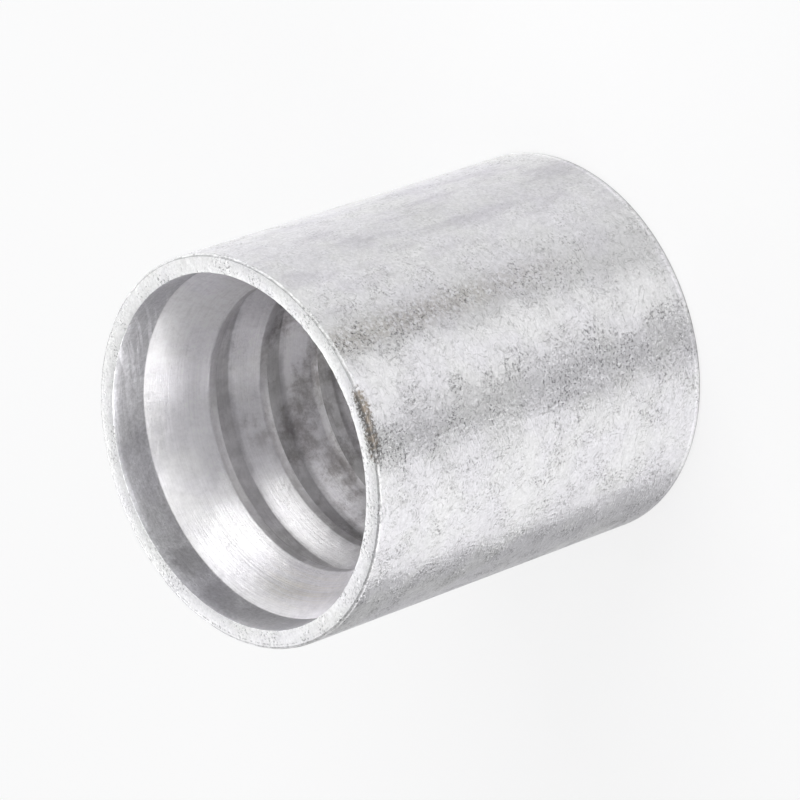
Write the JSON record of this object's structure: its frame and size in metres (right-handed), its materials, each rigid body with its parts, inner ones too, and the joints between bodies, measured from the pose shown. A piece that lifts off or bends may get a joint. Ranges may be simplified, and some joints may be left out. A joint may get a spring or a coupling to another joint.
{
  "type": "crimp hose ferrule",
  "caption": "Turned steel sleeve that is crimped over a hydraulic hose and its stem, with an open mouth, ringed teeth inside and a locking collar at its foot.",
  "frame": {"origin": "on the axis, at the outer face of the collar, which the ferrule stands on", "axes": "+Z along the axis, from the collar to the mouth; X and Y are free, as the ferrule is round"},
  "size_m": [0.0264, 0.0264, 0.03],
  "materials": {
    "zinc_plated_steel": "satin"
  },
  "bodies": {
    "root": {"ferrule": "zinc_plated_steel"}
  },
  "joints": []
}
